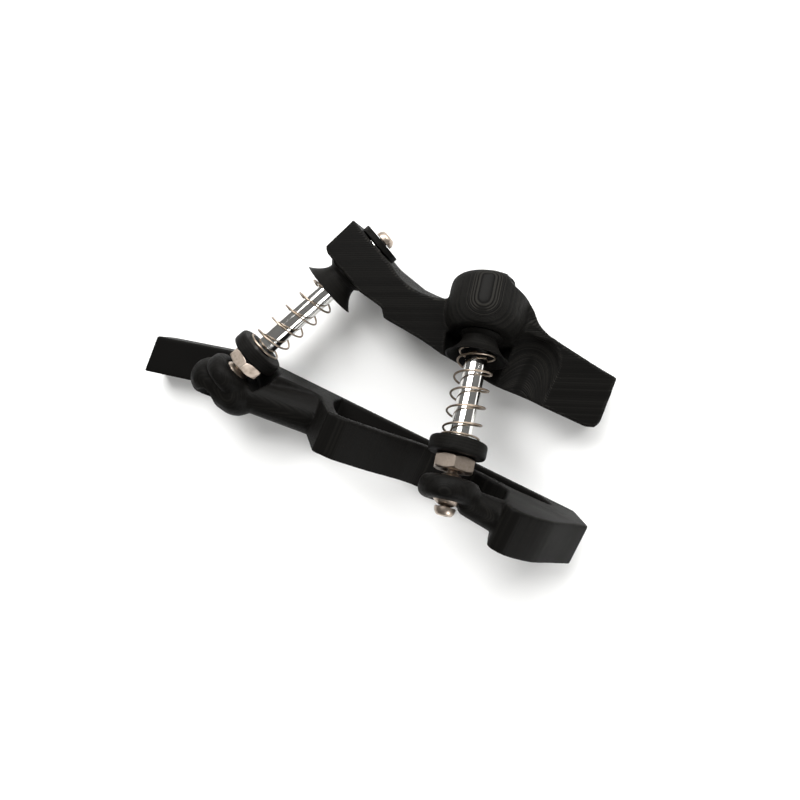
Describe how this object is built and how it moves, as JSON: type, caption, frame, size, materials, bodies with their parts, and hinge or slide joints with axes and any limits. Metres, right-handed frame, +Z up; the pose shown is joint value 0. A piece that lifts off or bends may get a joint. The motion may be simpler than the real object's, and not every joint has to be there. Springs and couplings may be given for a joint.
{
  "type": "hand grip strengthener",
  "caption": "Hand grip strengthener: a wavy finger bar and a bent palm bar, held apart by sprung guide posts that swivel in ring lugs.",
  "frame": {"origin": "on the finger bar's flat back, below the middle of its window, at mount rest_face", "axes": "+X along the finger bar, +Y from the finger bar to the palm bar, which is against the squeeze, +Z up from both bars' flat backs"},
  "size_m": [0.144, 0.0721, 0.0379],
  "materials": {
    "black_print": "black 3-D printed plastic with fine layer lines",
    "chrome_plate": "bright chrome-plated ground rod",
    "bright_steel": "plain steel, a little tarnished",
    "spring_wire": "drawn spring wire"
  },
  "bodies": {
    "finger_bar_body": {"finger_bar": "black_print"},
    "palm_bar_body": {"palm_bar": "black_print", "left_spring_cup": "black_print", "right_spring_cup": "black_print"},
    "left_post_body": {"left_swivel_ball": "bright_steel", "left_swivel_screw": "bright_steel", "left_jam_nut": "bright_steel", "left_spring_collar": "black_print", "left_guide_rod": "chrome_plate", "left_spring": "spring_wire", "left_stop_washer": "black_print", "left_top_screw": "bright_steel"},
    "right_post_body": {"right_swivel_ball": "bright_steel", "right_swivel_screw": "bright_steel", "right_jam_nut": "bright_steel", "right_spring_collar": "black_print", "right_guide_rod": "chrome_plate", "right_spring": "spring_wire", "right_stop_washer": "black_print", "right_top_screw": "bright_steel"}
  },
  "joints": [
    {"name": "palm_squeeze", "type": "slide", "parent": "finger_bar_body", "child": "palm_bar_body", "axis": [0, -1, 0], "range_m": [0, 0.009], "stiffness_N_per_m": 550, "springref_m": -0.005, "deforming": ["left_spring", "right_spring"]},
    {"name": "left_post_tilt", "type": "hinge", "parent": "finger_bar_body", "child": "left_post_body", "pos_m": [-0.0595, -0.0004, 0.0162], "axis": [-0.1998, 0, -0.9798], "range_deg": [0, 6]},
    {"name": "right_post_tilt", "type": "hinge", "parent": "finger_bar_body", "child": "right_post_body", "pos_m": [0.0148, 0.0022, 0.03], "axis": [-0.7906, 0, 0.6124], "range_deg": [0, 6.2]}
  ],
  "couplings": [
    {"joint": "left_post_tilt", "follows": "palm_squeeze", "rad_per_m": 11.37},
    {"joint": "right_post_tilt", "follows": "palm_squeeze", "rad_per_m": 11.81}
  ]
}
